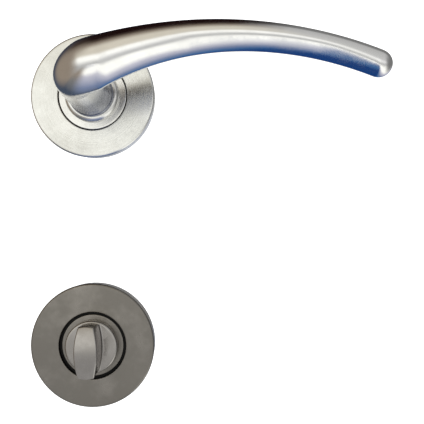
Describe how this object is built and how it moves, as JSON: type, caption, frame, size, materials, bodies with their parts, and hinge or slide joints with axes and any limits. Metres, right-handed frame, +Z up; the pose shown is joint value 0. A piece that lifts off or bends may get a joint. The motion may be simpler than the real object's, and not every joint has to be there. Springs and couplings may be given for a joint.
{
  "type": "door lever handle",
  "caption": "Arched satin metal door lever on a sprung round rose, with a matching round privacy thumb-turn below it.",
  "frame": {"origin": "the lever's spindle axis at the door face, midway between its two fixing bolts", "axes": "+Y goes into the door, along the spindles; the set stands out along -Y; +X runs along the arm; +Z is up"},
  "size_m": [0.1398, 0.1176, 0.157],
  "materials": {
    "satin_lever": "satin",
    "satin_rose": "satin, finely brushed",
    "satin_turn": "satin",
    "satin_turn_rose": "satin, finely brushed",
    "zinc_casting": "as cast",
    "bright_steel": "zinc plated",
    "spring_steel": "oiled",
    "nylon": "matte"
  },
  "bodies": {
    "roses": {"lever_rose_cover": "satin_rose", "lever_bearing_ring": "satin_rose", "lever_bush": "nylon", "lever_under_rose": "zinc_casting", "lever_through_bolts": "bright_steel", "lever_wood_screws": "bright_steel", "return_spring": "spring_steel", "turn_rose_cover": "satin_turn_rose", "turn_bearing_ring": "satin_turn_rose", "turn_bush": "nylon", "turn_under_rose": "zinc_casting", "turn_through_bolts": "bright_steel", "turn_wood_screws": "bright_steel"},
    "lever": {"lever_handle": "satin_lever", "neck_ring": "satin_lever", "lever_set_screw": "spring_steel", "spring_driver": "bright_steel", "lever_circlip": "spring_steel", "lever_spindle": "bright_steel"},
    "turn": {"turn_knob": "satin_turn", "turn_set_screw": "spring_steel", "turn_circlip": "spring_steel", "turn_wave_washer": "spring_steel", "turn_spindle": "bright_steel"}
  },
  "joints": [
    {"name": "lever_turn", "type": "hinge", "parent": "roses", "child": "lever", "pos_m": [0, 0, 0], "axis": [0, 1, 0], "range_deg": [0, 40], "stiffness_Nm_per_rad": 0.6, "springref_deg": -34.38, "deforming": ["return_spring"]},
    {"name": "thumb_turn", "type": "hinge", "parent": "roses", "child": "turn", "pos_m": [0, 0, -0.105], "axis": [0, 1, 0], "range_deg": [0, 90]}
  ]
}
